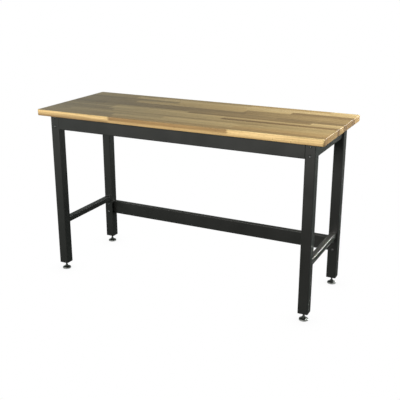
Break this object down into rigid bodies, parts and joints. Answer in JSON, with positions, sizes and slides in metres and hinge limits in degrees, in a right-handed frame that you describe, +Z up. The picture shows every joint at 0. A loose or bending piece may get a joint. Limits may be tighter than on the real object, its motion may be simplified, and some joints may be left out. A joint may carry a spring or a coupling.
{
  "type": "workbench",
  "caption": "Free-standing workbench: butcher-block top on a black square-tube steel frame with folded aprons, low back and side stretchers and threaded levelling feet.",
  "frame": {"origin": "on the floor, under the middle of the top", "axes": "+X along the bench to its right, +Y to its back, +Z up"},
  "size_m": [1.524, 0.6, 0.897],
  "materials": {
    "butcher_block": "oiled, satin",
    "black_paint": "satin powder coat",
    "black_zinc": "black zinc, semi-gloss",
    "plain_steel": "zinc plated",
    "bright_zinc": "bright plated",
    "black_plastic": "moulded, matt"
  },
  "bodies": {
    "frame": {"wood_top": "butcher_block", "leg_front_left": "black_paint", "leg_front_right": "black_paint", "leg_rear_left": "black_paint", "leg_rear_right": "black_paint", "front_apron": "black_paint", "rear_apron": "black_paint", "back_stretcher": "black_paint", "side_rail_left": "black_paint", "side_rail_right": "black_paint", "side_stretcher_left": "black_paint", "side_stretcher_right": "black_paint", "tongue_front_left": "black_paint", "tongue_front_right": "black_paint", "tongue_rear_left": "black_paint", "tongue_rear_right": "black_paint", "tongue_stretcher_left": "black_paint", "tongue_stretcher_right": "black_paint", "foot_plate_front_left": "black_paint", "foot_plate_front_right": "black_paint", "foot_plate_rear_left": "black_paint", "foot_plate_rear_right": "black_paint", "front_apron_bolts": "black_zinc", "rear_apron_bolts": "black_zinc", "stretcher_bolts": "black_zinc", "top_screws": "plain_steel", "apron_weld_nuts": "plain_steel", "stretcher_long_nuts": "plain_steel", "foot_nuts": "plain_steel"},
    "foot_front_left": {"foot_pad_front_left": "bright_zinc", "foot_sole_front_left": "black_plastic"},
    "stem_front_left": {"foot_stem_front_left": "bright_zinc"},
    "foot_front_right": {"foot_pad_front_right": "bright_zinc", "foot_sole_front_right": "black_plastic"},
    "stem_front_right": {"foot_stem_front_right": "bright_zinc"},
    "foot_rear_left": {"foot_pad_rear_left": "bright_zinc", "foot_sole_rear_left": "black_plastic"},
    "stem_rear_left": {"foot_stem_rear_left": "bright_zinc"},
    "foot_rear_right": {"foot_pad_rear_right": "bright_zinc", "foot_sole_rear_right": "black_plastic"},
    "stem_rear_right": {"foot_stem_rear_right": "bright_zinc"}
  },
  "joints": [
    {"name": "travel_front_left", "type": "slide", "parent": "frame", "child": "foot_front_left", "axis": [0, 0, 1], "range_m": [-0.021, 0.018]},
    {"name": "turn_front_left", "type": "hinge", "parent": "foot_front_left", "child": "stem_front_left", "pos_m": [-0.6885, -0.2305, 0.05], "axis": [0, 0, 1], "range_deg": [-5040, 4320]},
    {"name": "travel_front_right", "type": "slide", "parent": "frame", "child": "foot_front_right", "axis": [0, 0, 1], "range_m": [-0.021, 0.018]},
    {"name": "turn_front_right", "type": "hinge", "parent": "foot_front_right", "child": "stem_front_right", "pos_m": [0.6885, -0.2305, 0.05], "axis": [0, 0, 1], "range_deg": [-5040, 4320]},
    {"name": "travel_rear_left", "type": "slide", "parent": "frame", "child": "foot_rear_left", "axis": [0, 0, 1], "range_m": [-0.021, 0.018]},
    {"name": "turn_rear_left", "type": "hinge", "parent": "foot_rear_left", "child": "stem_rear_left", "pos_m": [-0.6885, 0.2305, 0.05], "axis": [0, 0, 1], "range_deg": [-5040, 4320]},
    {"name": "travel_rear_right", "type": "slide", "parent": "frame", "child": "foot_rear_right", "axis": [0, 0, 1], "range_m": [-0.021, 0.018]},
    {"name": "turn_rear_right", "type": "hinge", "parent": "foot_rear_right", "child": "stem_rear_right", "pos_m": [0.6885, 0.2305, 0.05], "axis": [0, 0, 1], "range_deg": [-5040, 4320]}
  ],
  "couplings": [
    {"joint": "turn_front_left", "follows": "travel_front_left", "rad_per_m": 4188.8},
    {"joint": "turn_front_right", "follows": "travel_front_right", "rad_per_m": 4188.8},
    {"joint": "turn_rear_left", "follows": "travel_rear_left", "rad_per_m": 4188.8},
    {"joint": "turn_rear_right", "follows": "travel_rear_right", "rad_per_m": 4188.8}
  ]
}
